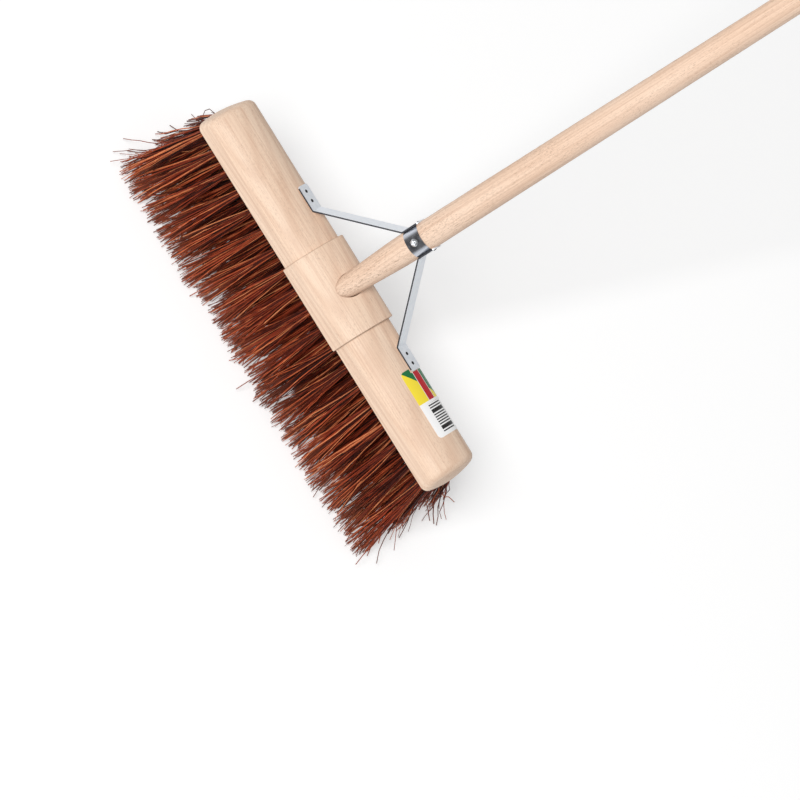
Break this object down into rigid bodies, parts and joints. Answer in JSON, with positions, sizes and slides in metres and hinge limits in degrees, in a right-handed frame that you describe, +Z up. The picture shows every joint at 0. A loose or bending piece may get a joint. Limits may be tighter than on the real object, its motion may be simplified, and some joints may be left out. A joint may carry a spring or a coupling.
{
  "type": "push broom",
  "caption": "Push broom with a domed wooden head, stiff natural-fibre tufts, a long tilted round handle and a two-armed steel brace.",
  "frame": {"origin": "the middle of the trimmed bristle face, which is the lowest plane of the broom", "axes": "+X along the head, +Y to the back, the way the handle leans, +Z up from the bristle tips"},
  "size_m": [0.4372, 0.909, 1.3671],
  "materials": {
    "beech_block": "sanded beech, waxed matt",
    "beech_handle": "turned beech, fine flecks, matt",
    "brace_steel": "zinc-plated strip",
    "saddle_steel": "zinc-plated, smooth and shiny",
    "screw_steel": "bright zinc plating",
    "nail_steel": "dark plain steel",
    "staple_wire": "drawn wire",
    "label_paper": "coated paper, printed with plain shapes",
    "bristle_fibre": "stiff reddish-brown natural fibre"
  },
  "bodies": {
    "root": {"head_block": "beech_block", "handle": "beech_handle", "brace_arm_left": "brace_steel", "brace_arm_right": "brace_steel", "brace_saddle": "saddle_steel", "saddle_screw": "screw_steel", "tab_nail_left": "nail_steel", "tab_nail_right": "nail_steel", "foot_nail_left_inner": "nail_steel", "foot_nail_left_outer": "nail_steel", "foot_nail_right_inner": "nail_steel", "foot_nail_right_outer": "nail_steel", "label": "label_paper", "tufts_front": "bristle_fibre", "tufts_front_middle": "bristle_fibre", "tufts_middle": "bristle_fibre", "tufts_back_middle": "bristle_fibre", "tufts_back": "bristle_fibre", "staples_front": "staple_wire", "staples_front_middle": "staple_wire", "staples_middle": "staple_wire", "staples_back_middle": "staple_wire", "staples_back": "staple_wire"}
  },
  "joints": []
}
